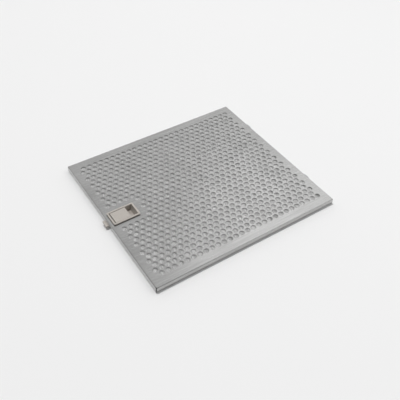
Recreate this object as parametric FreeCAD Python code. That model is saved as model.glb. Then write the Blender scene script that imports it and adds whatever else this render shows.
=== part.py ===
import FreeCAD, Part
import math
import os

# Cooker hood grease filter: a shallow cassette of two perforated aluminium sheets with expanded mesh between
# them, a sprung latch in the middle of one edge and two fixed tabs on the opposite edge.
# +X runs from the latch edge to the tab edge and +Z out of the front sheet. The cassette lies on Z = 0 on its
# folded lips, with the origin under the middle of the plate. All sizes are in millimetres.

# Cassette
LENGTH = 302.0  # latch edge to tab edge
WIDTH = 277.0  # along the latch edge
DEPTH = 9.0  # rear lips to front face
SHEET = 0.7  # thickness of both sheets
FOLD_RADIUS = 0.8  # inside radius of the folds in the front sheet
LIP_WIDTH = 6.0  # folded edge that carries the rear sheet
CORNER_GAP = 1.2  # open mitre between two folded edges
EDGE_CLEARANCE = 0.3  # rear sheet and mesh to the folds

# Perforation: staggered six-sided holes with the open share of the real round ones
FRONT_PITCH = 19.0
FRONT_HOLE = 12.7  # across flats
REAR_PITCH = 31.5
REAR_HOLE = 21.0
BORDER_LENGTHWISE = 10.0  # plain edge beside the latch and the tabs
BORDER_CROSSWISE = 13.8  # plain edge along the other two sides

# Expanded mesh, crimped into low ridges that cross from layer to layer
MESH_LAYERS = 4
MESH_FOIL = 0.5
RIDGE_PITCH = 20.0

# Latch housing
BEZEL_LENGTH = 42.0
BEZEL_WIDTH = 27.0
BEZEL_HEIGHT = 2.0  # above the front sheet
BEZEL_RIM_GAP = 1.0  # open joint under the bezel's rim
BEZEL_FOOT_INSET = 0.9  # rim past the foot that stands on the sheet
BEZEL_BORDER = 2.7
BEZEL_INSET = 5.0  # from the latch edge
BEZEL_CORNER = 1.6
BEZEL_CHAMFER = 0.5
HOUSING_WALL = 1.0
WINDOW_CLEARANCE = 0.2  # sheets to the housing
POCKET_SLOPE = 3.0  # lean of the finger pocket's far wall
LEDGE_WIDTH = 1.0  # runners under the finger plate
LEDGE_HEIGHT = 1.0
LEDGE_LENGTH = 20.0
LUG_LENGTH = 6.0  # snap lugs that grip the front sheet
LUG_HEIGHT = 3.0
LUG_DEPTH = 0.8
LUG_SPACING = 22.0
LUG_CLEARANCE = 0.1

# Latch cover
COVER_THICKNESS = 0.9
POST_THICKNESS = 1.6
RIB_THICKNESS = 1.2
CLIP_WIDTH = 6.0
CLIP_THICKNESS = 0.8
CLIP_HEIGHT = 4.4
CLIP_HOOK = 0.6
CLIP_CLEARANCE = 0.1

# Latch slide
PLATE_LENGTH = 24.2
PLATE_THICKNESS = 1.6
PLATE_RECESS = 0.4  # below the bezel
PLATE_GAP = 1.3  # to the bezel's latch-edge side
PLATE_CHAMFER = 0.3
PLATE_SIDE_CLEARANCE = 0.4
FINGER_LIP = 1.6
FINGER_LIP_INSET = 1.0
BLOCK_INSET = 2.0
BLOCK_LENGTH = 4.0
BOLT_WIDTH = 12.0
BOLT_HEIGHT = 2.8
BOLT_DROP = 2.8  # front face to the top of the bolt
BOLT_OUT = 5.0  # past the latch edge
BOLT_NOSE = 1.2  # flat end of the bolt above its cam
BOLT_CAM = 3.0  # length of the sloped underside
SLIDE_CLEARANCE = 0.3
TRAVEL = 5.5

# Latch spring
SPRING_DIAMETER = 4.4
SPRING_WIRE = 0.6
SPRING_TURNS = 5
SPRING_STEPS = 12  # straight lengths in each turn
SPRING_END_CLEARANCE = 0.2
SPRING_SIDE_CLEARANCE = 0.4
SPRING_FLOOR_CLEARANCE = 1.8

# Tabs
TAB_SPACING = 150.0
TAB_WIDTH = 12.0
TAB_SHEET = 0.8
TAB_FOLD_RADIUS = 0.5
TAB_OUT = 3.8  # past the tab edge
TAB_HEIGHT = 4.5  # middle of the tongue above the lips
TAB_FOOT = 7.0
TAB_CORNER = 2.0
TAB_CLEARANCE = 0.3

# Levels and places that follow from the sizes above
LATCH_EDGE = -LENGTH / 2
TAB_EDGE = LENGTH / 2
MESH_BOTTOM = 2 * SHEET
MESH_TOP = DEPTH - SHEET
FOLD_LINE = SHEET + FOLD_RADIUS  # from an edge to the flat of the sheet

BEZEL_TOP = DEPTH + BEZEL_HEIGHT
RIM_BOTTOM = DEPTH + BEZEL_RIM_GAP
BEZEL_X0 = LATCH_EDGE + BEZEL_INSET
BEZEL_X1 = BEZEL_X0 + BEZEL_LENGTH
OPENING_X0 = BEZEL_X0 + BEZEL_BORDER
OPENING_X1 = BEZEL_X1 - BEZEL_BORDER
OPENING_Y = BEZEL_WIDTH / 2 - BEZEL_BORDER
WALL_X0 = OPENING_X0 - HOUSING_WALL
WALL_X1 = OPENING_X1 + HOUSING_WALL
WALL_Y = OPENING_Y + HOUSING_WALL
COVER_BOTTOM = SHEET
FLOOR = COVER_BOTTOM + COVER_THICKNESS

PLATE_X0 = OPENING_X0 + PLATE_GAP
PLATE_X1 = PLATE_X0 + PLATE_LENGTH
PLATE_Y = OPENING_Y - PLATE_SIDE_CLEARANCE
PLATE_TOP = BEZEL_TOP - PLATE_RECESS
PLATE_BOTTOM = PLATE_TOP - PLATE_THICKNESS
BLOCK_X0 = PLATE_X0 + BLOCK_INSET
BLOCK_X1 = BLOCK_X0 + BLOCK_LENGTH
BOLT_TOP = DEPTH - BOLT_DROP
BOLT_BOTTOM = BOLT_TOP - BOLT_HEIGHT
POST_X1 = PLATE_X1 - FINGER_LIP - SLIDE_CLEARANCE
POST_X0 = POST_X1 - POST_THICKNESS
RIB_X0 = BLOCK_X1 + TRAVEL + SLIDE_CLEARANCE
SPRING_AXIS = FLOOR + SPRING_FLOOR_CLEARANCE + SPRING_DIAMETER / 2
CLIP_X = (RIB_X0 + POST_X1) / 2  # middle of the clips along the cover

Z_AXIS = FreeCAD.Vector(0, 0, 1)
ORIGIN = FreeCAD.Vector(0, 0, 0)


def box(low, high):
    """A block between two opposite corners."""
    return Part.makeBox(*(b - a for a, b in zip(low, high)), FreeCAD.Vector(*low))


def upright_edges(solid):
    """The edges of a solid that run along Z."""
    return [e for e in solid.Edges if e.BoundBox.ZLength > e.BoundBox.DiagonalLength / 2]


def bevelled(solid, chamfer):
    """A solid with a bevel round its upper rim."""
    rim = [e for e in solid.Edges if e.BoundBox.ZMin > solid.BoundBox.ZMax - chamfer / 2]
    return solid.makeChamfer(chamfer, rim)


def prism_y(points, half_width):
    """A side outline given as (x, z) points, made solid symmetrically about the XZ plane."""
    corners = [FreeCAD.Vector(x, -half_width, z) for x, z in points]
    face = Part.Face(Part.makePolygon(corners + corners[:1]))
    return face.extrude(FreeCAD.Vector(0, 2 * half_width, 0))


def prism_z(points, bottom, top):
    """A plan outline given as (x, y) points, made solid between two levels."""
    corners = [FreeCAD.Vector(x, y, bottom) for x, y in points]
    face = Part.Face(Part.makePolygon(corners + corners[:1]))
    return face.extrude(FreeCAD.Vector(0, 0, top - bottom))


def fold_section(path, thickness, inside_radius):
    """Section of a folded strip in the XZ plane, from the middle line of its sheet."""
    points = [FreeCAD.Vector(x, 0, z) for x, z in path]
    runs = [(b - a).normalize() for a, b in zip(points, points[1:])]
    middle_radius = inside_radius + thickness / 2
    edges = []
    ends = []
    for side in (1, -1):
        offsets = [FreeCAD.Vector(-run.z, 0, run.x) * (side * thickness / 2) for run in runs]
        pen = points[0] + offsets[0]
        first = pen
        for i in range(1, len(runs)):
            before, after = runs[i - 1], runs[i]
            turn = math.copysign(1.0, before.x * after.z - before.z * after.x)
            tangent = middle_radius * math.tan(before.getAngle(after) / 2)
            start = points[i] - before * tangent
            centre = start + FreeCAD.Vector(-before.z, 0, before.x) * (turn * middle_radius)
            arc_start = start + offsets[i - 1]
            arc_end = points[i] + after * tangent + offsets[i]
            arc_radius = middle_radius - turn * side * thickness / 2
            arc_middle = centre + (points[i] - centre).normalize() * arc_radius
            if (arc_start - pen).Length > Part.Precision.confusion():
                edges.append(Part.makeLine(pen, arc_start))
            edges.append(Part.Arc(arc_start, arc_middle, arc_end).toShape())
            pen = arc_end
        last = points[-1] + offsets[-1]
        edges.append(Part.makeLine(pen, last))
        ends.append((first, last))
    edges.append(Part.makeLine(ends[0][0], ends[1][0]))
    edges.append(Part.makeLine(ends[0][1], ends[1][1]))
    return Part.Face(Part.Wire(Part.__sortEdges__(edges)))


def hexagon(x, y, across, level):
    """Outline of a six-sided hole with its flats towards its six neighbours."""
    radius = across / math.sqrt(3)
    corners = []
    for i in range(6):
        angle = math.radians(30 + 60 * i)
        corners.append(FreeCAD.Vector(x + radius * math.cos(angle), y + radius * math.sin(angle), level))
    return Part.makePolygon(corners + corners[:1])


def staggered(length, width, pitch):
    """Centres of an odd number of rows along X round the origin, every other row moved by half a pitch."""
    row_gap = pitch * math.sin(math.radians(60))
    rows = 2 * int(width / row_gap / 2) + 1
    columns = int((length - pitch / 2) / pitch) + 1
    centres = []
    for row in range(rows):
        y = (row - (rows - 1) / 2) * row_gap
        shift = pitch / 4 if row % 2 == 0 else -pitch / 4
        for column in range(columns):
            centres.append(((column - (columns - 1) / 2) * pitch + shift, y))
    return centres


def perforated(half_length, half_width, pitch, hole, level, keep_out):
    """Flat sheet with staggered holes, plain at its border and over the latch."""
    x_clear, y_clear = keep_out
    wires = [Part.makePolygon([
        FreeCAD.Vector(x * half_length, y * half_width, level)
        for x, y in ((-1, -1), (1, -1), (1, 1), (-1, 1), (-1, -1))
    ])]
    field_length = LENGTH - 2 * BORDER_LENGTHWISE - hole
    field_width = WIDTH - 2 * BORDER_CROSSWISE - hole
    reach = hole / math.sqrt(3)
    for x, y in staggered(field_length, field_width, pitch):
        if x - reach > x_clear or abs(y) - reach > y_clear:
            wires.append(hexagon(x, y, hole, level))
    face = Part.makeFace(Part.Compound(wires), "Part::FaceMakerCheese")
    return face.extrude(FreeCAD.Vector(0, 0, SHEET))


def folded_edge(reach, run, quarter_turns):
    """One edge of the front sheet: fold, wall, fold and lip, with open mitres at both ends."""
    wall = reach - SHEET / 2
    section = fold_section(
        [(reach - FOLD_LINE, DEPTH - SHEET / 2), (wall, DEPTH - SHEET / 2), (wall, SHEET / 2),
         (reach - LIP_WIDTH, SHEET / 2)],
        SHEET, FOLD_RADIUS,
    )
    section.translate(FreeCAD.Vector(0, -run / 2, 0))
    strip = section.extrude(FreeCAD.Vector(0, run, 0))
    half_gap = CORNER_GAP / math.sqrt(2)
    inner = reach - 2 * LIP_WIDTH
    inner_end = run / 2 - 2 * LIP_WIDTH - half_gap
    outer_end = run / 2 - half_gap
    corners = [(inner, -inner_end), (reach, -outer_end), (reach, outer_end), (inner, inner_end)]
    strip = strip.common(prism_z(corners, 0, DEPTH))
    strip.rotate(ORIGIN, Z_AXIS, 90 * quarter_turns)
    return strip


def front_sheet():
    """Perforated front, folded on four sides, with the latch window and the slots for bolt and tabs."""
    keep_out = (BEZEL_X1, BEZEL_WIDTH / 2)
    sheet = perforated(
        LENGTH / 2 - FOLD_LINE, WIDTH / 2 - FOLD_LINE, FRONT_PITCH, FRONT_HOLE, MESH_TOP, keep_out
    )
    edges = [
        folded_edge(LENGTH / 2, WIDTH, 0),
        folded_edge(WIDTH / 2, LENGTH, 1),
        folded_edge(LENGTH / 2, WIDTH, 2),
        folded_edge(WIDTH / 2, LENGTH, 3),
    ]
    sheet = sheet.fuse(edges).removeSplitter()
    window_y = WALL_Y + WINDOW_CLEARANCE
    window = box(
        (WALL_X0 - WINDOW_CLEARANCE, -window_y, MESH_TOP), (WALL_X1 + WINDOW_CLEARANCE, window_y, DEPTH)
    )
    bolt_y = BOLT_WIDTH / 2 + SLIDE_CLEARANCE
    bolt_slot = box(
        (LATCH_EDGE, -bolt_y, BOLT_BOTTOM - SLIDE_CLEARANCE),
        (LATCH_EDGE + SHEET, bolt_y, BOLT_TOP + SLIDE_CLEARANCE),
    )
    tab_y = TAB_WIDTH / 2 + TAB_CLEARANCE
    tab_z = TAB_SHEET / 2 + TAB_CLEARANCE
    tab_slots = [
        box((TAB_EDGE - SHEET, y - tab_y, TAB_HEIGHT - tab_z), (TAB_EDGE, y + tab_y, TAB_HEIGHT + tab_z))
        for y in (-TAB_SPACING / 2, TAB_SPACING / 2)
    ]
    return sheet.cut([window, bolt_slot] + tab_slots)


def rear_sheet():
    """Flat perforated sheet on the lips, with a window that the latch cover fills."""
    margin = FOLD_LINE + EDGE_CLEARANCE
    keep_out = (BEZEL_X1, BEZEL_WIDTH / 2)
    sheet = perforated(LENGTH / 2 - margin, WIDTH / 2 - margin, REAR_PITCH, REAR_HOLE, SHEET, keep_out)
    window_y = WALL_Y + WINDOW_CLEARANCE
    window = box(
        (WALL_X0 - WINDOW_CLEARANCE, -window_y, SHEET), (WALL_X1 + WINDOW_CLEARANCE, window_y, MESH_BOTTOM)
    )
    return sheet.cut(window)


def mesh_layer(index):
    """One crimped layer; the ridges of neighbouring layers cross and touch."""
    height = (MESH_TOP - MESH_BOTTOM) / MESH_LAYERS
    bottom = MESH_BOTTOM + index * height
    margin = FOLD_LINE + EDGE_CLEARANCE
    x0 = LATCH_EDGE + margin
    x1 = TAB_EDGE - SHEET - TAB_FOOT - EDGE_CLEARANCE
    run_x = x1 - x0
    run_y = WIDTH - 2 * margin
    crosswise = index % 2 == 1
    span, length = (run_y, run_x) if crosswise else (run_x, run_y)
    ridges = max(1, round(span / RIDGE_PITCH))
    upper = []
    for i in range(2 * ridges + 1):
        x = (i / (2 * ridges) - 0.5) * span
        upper.append((x, bottom + (height if i % 2 else MESH_FOIL)))
    lower = [(x, z - MESH_FOIL) for x, z in reversed(upper)]
    layer = prism_y(upper + lower, length / 2)
    if crosswise:
        layer.rotate(ORIGIN, Z_AXIS, 90)
    layer.translate(FreeCAD.Vector((x0 + x1) / 2, 0, 0))
    notch_y = WALL_Y + LUG_DEPTH + EDGE_CLEARANCE
    notch = box((x0, -notch_y, bottom), (WALL_X1 + EDGE_CLEARANCE, notch_y, bottom + height))
    return layer.cut(notch)


def latch_housing():
    """Moulded frame: bezel on a foot, box with a sloped finger pocket, runners and snap lugs."""
    bezel = box((BEZEL_X0, -BEZEL_WIDTH / 2, RIM_BOTTOM), (BEZEL_X1, BEZEL_WIDTH / 2, BEZEL_TOP))
    bezel = bevelled(bezel.makeFillet(BEZEL_CORNER, upright_edges(bezel)), BEZEL_CHAMFER)
    foot_y = BEZEL_WIDTH / 2 - BEZEL_FOOT_INSET
    foot = box(
        (BEZEL_X0 + BEZEL_FOOT_INSET, -foot_y, DEPTH), (BEZEL_X1 - BEZEL_FOOT_INSET, foot_y, RIM_BOTTOM)
    )
    body = box((WALL_X0, -WALL_Y, FLOOR), (WALL_X1, WALL_Y, DEPTH))
    cavity = prism_y(
        [(OPENING_X0, FLOOR), (OPENING_X1 - POCKET_SLOPE, FLOOR), (OPENING_X1, DEPTH),
         (OPENING_X1, BEZEL_TOP), (OPENING_X0, BEZEL_TOP)],
        OPENING_Y,
    )
    bolt_y = BOLT_WIDTH / 2 + SLIDE_CLEARANCE
    bolt_slot = box(
        (WALL_X0, -bolt_y, BOLT_BOTTOM - SLIDE_CLEARANCE), (OPENING_X0, bolt_y, BOLT_TOP + SLIDE_CLEARANCE)
    )
    clip_top = FLOOR + CLIP_HEIGHT + CLIP_CLEARANCE
    clip_x = CLIP_WIDTH / 2 + CLIP_CLEARANCE
    clip_slots = box(
        (CLIP_X - clip_x, -WALL_Y, clip_top - 2 * CLIP_HOOK - CLIP_CLEARANCE),
        (CLIP_X + clip_x, WALL_Y, clip_top),
    )
    housing = bezel.fuse([foot, body]).removeSplitter().cut([cavity, bolt_slot, clip_slots])
    ledge_top = PLATE_BOTTOM - SLIDE_CLEARANCE
    lug_top = MESH_TOP - LUG_CLEARANCE
    additions = []
    for side in (-1, 1):
        ledge_ys = sorted((side * (OPENING_Y - LEDGE_WIDTH), side * WALL_Y))
        additions.append(box(
            (OPENING_X0, ledge_ys[0], ledge_top - LEDGE_HEIGHT),
            (OPENING_X0 + LEDGE_LENGTH, ledge_ys[1], ledge_top),
        ))
        for end in (-1, 1):
            lug_x = (WALL_X0 + WALL_X1) / 2 + end * LUG_SPACING / 2
            corners = [(side * WALL_Y, lug_top), (side * (WALL_Y + LUG_DEPTH), lug_top),
                       (side * WALL_Y, lug_top - LUG_HEIGHT)]
            points = [FreeCAD.Vector(lug_x - LUG_LENGTH / 2, y, z) for y, z in corners]
            face = Part.Face(Part.makePolygon(points + points[:1]))
            additions.append(face.extrude(FreeCAD.Vector(LUG_LENGTH, 0, 0)))
    return housing.fuse(additions).removeSplitter()


def latch_cover():
    """Floor of the latch with the spring's post and guide ribs, which stop the slide, and two clips."""
    floor = box((WALL_X0, -WALL_Y, COVER_BOTTOM), (WALL_X1, WALL_Y, FLOOR))
    inner = SPRING_DIAMETER / 2 + SPRING_SIDE_CLEARANCE
    outer = inner + RIB_THICKNESS
    guide = prism_z(
        [(RIB_X0, -outer), (POST_X1, -outer), (POST_X1, outer), (RIB_X0, outer), (RIB_X0, inner),
         (POST_X0, inner), (POST_X0, -inner), (RIB_X0, -inner)],
        FLOOR, SPRING_AXIS + SPRING_DIAMETER / 2,
    )
    clips = []
    hook_y = OPENING_Y - CLIP_CLEARANCE
    clip_top = FLOOR + CLIP_HEIGHT
    for side in (-1, 1):
        outline = [(hook_y - CLIP_THICKNESS, FLOOR), (hook_y, FLOOR), (hook_y, clip_top - 2 * CLIP_HOOK),
                   (hook_y + CLIP_HOOK, clip_top - 2 * CLIP_HOOK), (hook_y, clip_top),
                   (hook_y - CLIP_THICKNESS, clip_top)]
        points = [FreeCAD.Vector(CLIP_X - CLIP_WIDTH / 2, side * y, z) for y, z in outline]
        face = Part.Face(Part.makePolygon(points + points[:1]))
        clips.append(face.extrude(FreeCAD.Vector(CLIP_WIDTH, 0, 0)))
    return floor.fuse([guide] + clips).removeSplitter()


def latch_slide():
    """Finger plate, the lip that the finger pulls and the block that carries the bolt."""
    plate = bevelled(box((PLATE_X0, -PLATE_Y, PLATE_BOTTOM), (PLATE_X1, PLATE_Y, PLATE_TOP)), PLATE_CHAMFER)
    lip_y = PLATE_Y - FINGER_LIP_INSET
    lip = box((PLATE_X1 - FINGER_LIP, -lip_y, BOLT_BOTTOM), (PLATE_X1, lip_y, PLATE_BOTTOM))
    tip = LATCH_EDGE - BOLT_OUT
    bolt = prism_y(
        [(tip, BOLT_TOP), (tip, BOLT_TOP - BOLT_NOSE), (tip + BOLT_CAM, BOLT_BOTTOM), (BLOCK_X1, BOLT_BOTTOM),
         (BLOCK_X1, PLATE_BOTTOM), (BLOCK_X0, PLATE_BOTTOM), (BLOCK_X0, BOLT_TOP)],
        BOLT_WIDTH / 2,
    )
    return plate.fuse([lip, bolt]).removeSplitter()


def latch_spring():
    """Compression spring between the bolt's block and the cover's post."""
    half = SPRING_WIRE / 2
    start = BLOCK_X1 + SPRING_END_CLEARANCE + half
    length = POST_X0 - SPRING_END_CLEARANCE - half - start
    radius = SPRING_DIAMETER / 2 - half
    steps = SPRING_TURNS * SPRING_STEPS
    coil = []
    for i in range(steps + 1):
        angle = 2 * math.pi * i / SPRING_STEPS
        x = start + length * i / steps
        coil.append(FreeCAD.Vector(x, radius * math.sin(angle), SPRING_AXIS + radius * math.cos(angle)))
    square = ((-1, -1), (1, -1), (1, 1), (-1, 1))
    corners = [coil[0] + FreeCAD.Vector(x * half, 0, z * half) for x, z in square]
    section = Part.makePolygon(corners + corners[:1])
    sharp_corners = 1
    return Part.makePolygon(coil).makePipeShell([section], True, True, sharp_corners)


def hook_tab(y):
    """Bent strip: a foot on the rear sheet, a web against the wall and a tongue out through its slot."""
    web = TAB_EDGE - SHEET - TAB_SHEET / 2
    foot = MESH_BOTTOM + TAB_SHEET / 2
    section = fold_section(
        [(TAB_EDGE - SHEET - TAB_FOOT, foot), (web, foot), (web, TAB_HEIGHT),
         (TAB_EDGE + TAB_OUT, TAB_HEIGHT)],
        TAB_SHEET, TAB_FOLD_RADIUS,
    )
    section.translate(FreeCAD.Vector(0, y - TAB_WIDTH / 2, 0))
    tab = section.extrude(FreeCAD.Vector(0, TAB_WIDTH, 0))
    tip_corners = [e for e in upright_edges(tab) if e.BoundBox.XMin > TAB_EDGE + TAB_OUT / 2]
    return tab.makeChamfer(TAB_CORNER, tip_corners)


pieces = {
    "front_sheet": front_sheet(),
    "rear_sheet": rear_sheet(),
    "latch_housing": latch_housing(),
    "latch_cover": latch_cover(),
    "latch_slide": latch_slide(),
    "latch_spring": latch_spring(),
    "near_tab": hook_tab(-TAB_SPACING / 2),
    "far_tab": hook_tab(TAB_SPACING / 2),
}
for layer_index in range(MESH_LAYERS):
    pieces[f"mesh_layer_{layer_index + 1}"] = mesh_layer(layer_index)

os.makedirs("parts", exist_ok=True)
for name, shape in pieces.items():
    shape.exportStep(f"parts/{name}.step")
    state = "valid" if shape.isValid() else "NOT VALID"
    print(name, len(shape.Solids), "solid", round(shape.Volume, 1), "mm3", state)
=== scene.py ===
# %% [markdown]
# # A cooker hood grease filter
# The real filter is a shallow cassette: two perforated aluminium sheets with expanded mesh between them,
# a sprung latch in one edge and two fixed tabs opposite. Its construction comes packed, as a fixed frame
# in metres. This lesson gives it its looks: round punched holes, mesh strands, finishes, light and a
# camera.

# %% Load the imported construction
import math

import bmesh
import bpy
from mathutils import Matrix, Vector


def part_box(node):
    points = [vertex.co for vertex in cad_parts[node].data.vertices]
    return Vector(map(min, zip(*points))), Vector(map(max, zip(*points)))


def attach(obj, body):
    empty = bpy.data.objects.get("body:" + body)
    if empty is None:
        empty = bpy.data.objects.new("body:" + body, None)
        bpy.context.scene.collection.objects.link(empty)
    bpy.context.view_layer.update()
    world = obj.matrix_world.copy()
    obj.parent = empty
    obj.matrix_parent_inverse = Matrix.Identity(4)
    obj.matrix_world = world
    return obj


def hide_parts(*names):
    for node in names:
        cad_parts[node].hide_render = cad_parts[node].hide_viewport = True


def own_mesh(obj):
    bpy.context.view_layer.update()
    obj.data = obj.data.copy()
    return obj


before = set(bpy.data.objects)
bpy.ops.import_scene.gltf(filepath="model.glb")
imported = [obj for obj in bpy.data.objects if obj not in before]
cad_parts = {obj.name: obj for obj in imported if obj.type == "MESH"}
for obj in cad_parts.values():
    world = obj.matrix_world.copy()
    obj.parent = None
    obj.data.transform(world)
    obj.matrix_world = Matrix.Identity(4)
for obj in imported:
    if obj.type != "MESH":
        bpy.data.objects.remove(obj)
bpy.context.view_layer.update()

MM = 0.001  # metres

# %% [markdown]
# ## Camera
# The photograph looks down on the filter at about 45 degrees, over the corner beside the latch, and is
# square. The angles and the distance below come from the four corners of the plate.

# %% Camera
AZIMUTH = math.radians(-33.8)
ELEVATION = math.radians(44.9)
ROLL = math.radians(1.0)
CAMERA_DISTANCE = 823 * MM
LOOKED_AT = Vector((-14.3, -30.6, 4.5)) * MM
LENS = 50  # focal length, in millimetres as Blender counts it
SENSOR = 36  # width of the picture plane, in millimetres too

back = Vector((
    math.sin(AZIMUTH) * math.cos(ELEVATION),
    -math.cos(AZIMUTH) * math.cos(ELEVATION),
    math.sin(ELEVATION),
))
level_right = Vector((math.cos(AZIMUTH), math.sin(AZIMUTH), 0))
level_up = back.cross(level_right)
right = level_right * math.cos(ROLL) + level_up * math.sin(ROLL)
up = back.cross(right)
camera = bpy.data.objects.new("camera", bpy.data.cameras.new("camera"))
camera.data.lens = LENS
camera.data.sensor_width = SENSOR
camera.matrix_world = Matrix.Translation(LOOKED_AT + back * CAMERA_DISTANCE) @ Matrix(
    (right, up, back)
).transposed().to_4x4()
bpy.context.scene.collection.objects.link(camera)
bpy.context.scene.camera = camera
print("camera at", [round(c, 3) for c in camera.location])

# %% [markdown]
# ## Helpers for node trees
# Finishes and repeated shapes are both trees of nodes. One function adds a node with its settings and
# links. Another turns a colour as a painter writes it, a hex value, into the linear light that shaders
# count in. A third starts a material.

# %% Node and colour helpers


def add(tree, kind, inputs=None, **settings):
    """Adds a node. Each input is a value, an output to link, or a list of outputs to link."""
    node = tree.nodes.new(kind)
    for name, value in settings.items():
        setattr(node, name, value)
    for key, value in (inputs or {}).items():
        for item in value if isinstance(value, list) else [value]:
            if isinstance(item, bpy.types.NodeSocket):
                tree.links.new(item, node.inputs[key])
            else:
                node.inputs[key].default_value = item
    return node


def colour(code):
    """Linear red, green, blue and alpha of an sRGB hex value."""
    parts = [int(code[i:i + 2], 16) / 255 for i in (1, 3, 5)]
    return (*[p / 12.92 if p <= 0.04045 else ((p + 0.055) / 1.055) ** 2.4 for p in parts], 1.0)


def new_finish(name):
    """An empty material and its tree, with the output node in place."""
    finish = bpy.data.materials.new(name)
    finish.use_nodes = True
    finish.node_tree.nodes.clear()
    return finish, finish.node_tree, add(finish.node_tree, "ShaderNodeOutputMaterial")


print("mid grey is", [round(c, 3) for c in colour("#808080")])

# %% [markdown]
# ## Mill-finish aluminium
# The sheets leave the rolling mill bare. The rolls print fine lines along the sheet, which blur its
# reflections into a soft grey. A stretched noise makes those lines: it moves the roughness and a slight
# bump. A broader one shades the sheet in faint streaks. Real rolling lines are about 0.05 mm wide, too
# fine to show here, so they are drawn 0.5 mm wide and the streaks 2 mm wide.

# %% Mill-finish aluminium
ROLLING_LINE = 0.5 * MM
ROLLING_STREAK = 2 * MM
ROLLING_LENGTH = 40 * MM
CLOUD = 60 * MM
MIX_A, MIX_B, MIX_RESULT = 6, 7, 2  # the colour sockets of a Mix node


def mill_finish_aluminium():
    """Bare rolled aluminium: a soft, slightly streaky reflection."""
    finish, tree, end = new_finish("mill_finish_aluminium")
    place = add(tree, "ShaderNodeTexCoord").outputs["Object"]
    lines = add(tree, "ShaderNodeMapping", {
        "Vector": place, "Scale": (1 / ROLLING_LENGTH, 1 / ROLLING_LINE, 1 / ROLLING_LINE),
    })
    grain = add(tree, "ShaderNodeTexNoise", {"Vector": lines.outputs[0], "Scale": 1.0, "Detail": 3.0})
    clouds = add(tree, "ShaderNodeTexNoise", {"Vector": place, "Scale": 1 / CLOUD, "Detail": 2.0})
    marks = add(tree, "ShaderNodeMapping", {
        "Vector": place, "Scale": (1 / ROLLING_LENGTH, 1 / ROLLING_STREAK, 1 / ROLLING_STREAK),
    })
    streaks = add(tree, "ShaderNodeTexNoise", {"Vector": marks.outputs[0], "Scale": 1.0, "Detail": 2.0})
    shade = add(tree, "ShaderNodeMath", {0: streaks.outputs[0], 1: clouds.outputs[0]}, operation="ADD")
    share = add(tree, "ShaderNodeMapRange", {
        "Value": shade.outputs[0], "From Min": 0.6, "From Max": 1.4,
    })
    tone = add(tree, "ShaderNodeMix", {
        0: share.outputs[0], MIX_A: colour("#b4b4b3"), MIX_B: colour("#c8c8c7"),
    }, data_type="RGBA")
    rough = add(tree, "ShaderNodeMapRange", {"Value": grain.outputs[0], "To Min": 0.22, "To Max": 0.3})
    bump = add(tree, "ShaderNodeBump", {
        "Height": grain.outputs[0], "Strength": 0.05, "Distance": 0.05 * MM,
    })
    shader = add(tree, "ShaderNodeBsdfPrincipled", {
        "Base Color": tone.outputs[MIX_RESULT], "Metallic": 1.0, "Roughness": rough.outputs[0],
        "Normal": bump.outputs[0],
    })
    tree.links.new(shader.outputs[0], end.inputs["Surface"])
    return finish


aluminium = mill_finish_aluminium()
print("finish:", aluminium.name)

# %% [markdown]
# ## Bright aluminium foil
# The mesh inside is slit and stretched from thin foil. Stretching dulls it: part of the light scatters
# evenly, and the rest still glints. Some strands stay brighter than others, so a noise as coarse as one
# diamond of the mesh varies the roughness and the tone.

# %% Bright aluminium foil
FOIL_PATCH = 7 * MM


def bright_foil():
    """Thin stretched aluminium foil: half dull, with a glint on each strand."""
    finish, tree, end = new_finish("bright_aluminium_foil")
    place = add(tree, "ShaderNodeTexCoord").outputs["Object"]
    patches = add(tree, "ShaderNodeTexNoise", {"Vector": place, "Scale": 1 / FOIL_PATCH, "Detail": 2.0})
    rough = add(tree, "ShaderNodeMapRange", {"Value": patches.outputs[0], "To Min": 0.16, "To Max": 0.32})
    tone = add(tree, "ShaderNodeMix", {
        0: patches.outputs[0], MIX_A: colour("#c8c8c7"), MIX_B: colour("#d8d8d7"),
    }, data_type="RGBA")
    shader = add(tree, "ShaderNodeBsdfPrincipled", {
        "Base Color": tone.outputs[MIX_RESULT], "Metallic": 0.55, "Roughness": rough.outputs[0],
    })
    tree.links.new(shader.outputs[0], end.inputs["Surface"])
    return finish


foil = bright_foil()
print("finish:", foil.name)

# %% [markdown]
# ## Satin latch moulding
# The latch is moulded in ABS with a metal-coloured pigment: a warm silver grey with a soft sheen. The
# mould was spark eroded, which leaves an even fine grain. The grain of such a mould is about 0.05 mm; it
# is drawn at 0.6 mm so that it shows at all.

# %% Satin latch moulding
MOULD_GRAIN = 0.6 * MM


def satin_moulding():
    """ABS with a silver pigment, from a spark-eroded mould: a warm grey with a soft sheen."""
    finish, tree, end = new_finish("satin_silver_abs")
    place = add(tree, "ShaderNodeTexCoord").outputs["Object"]
    grain = add(tree, "ShaderNodeTexNoise", {"Vector": place, "Scale": 1 / MOULD_GRAIN, "Detail": 2.0})
    speckle = add(tree, "ShaderNodeMapRange", {
        "Value": grain.outputs[0], "From Min": 0.35, "From Max": 0.65,
    })
    tone = add(tree, "ShaderNodeMix", {
        0: speckle.outputs[0], MIX_A: colour("#b0aaa3"), MIX_B: colour("#ccc6bf"),
    }, data_type="RGBA")
    bump = add(tree, "ShaderNodeBump", {
        "Height": grain.outputs[0], "Strength": 0.1, "Distance": 0.03 * MM,
    })
    shader = add(tree, "ShaderNodeBsdfPrincipled", {
        "Base Color": tone.outputs[MIX_RESULT], "Metallic": 0.25, "Roughness": 0.42, "IOR": 1.53,
        "Normal": bump.outputs[0],
    })
    tree.links.new(shader.outputs[0], end.inputs["Surface"])
    return finish


moulding = satin_moulding()
print("finish:", moulding.name)

# %% [markdown]
# ## Zinc-plated steel
# The spring is drawn wire and the tabs are cut from strip, both plated against rust. Plated steel is a
# darker, slightly bluer grey than aluminium, with a cloudy patina a few millimetres across.

# %% Zinc-plated steel
PATINA = 3 * MM


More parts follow.
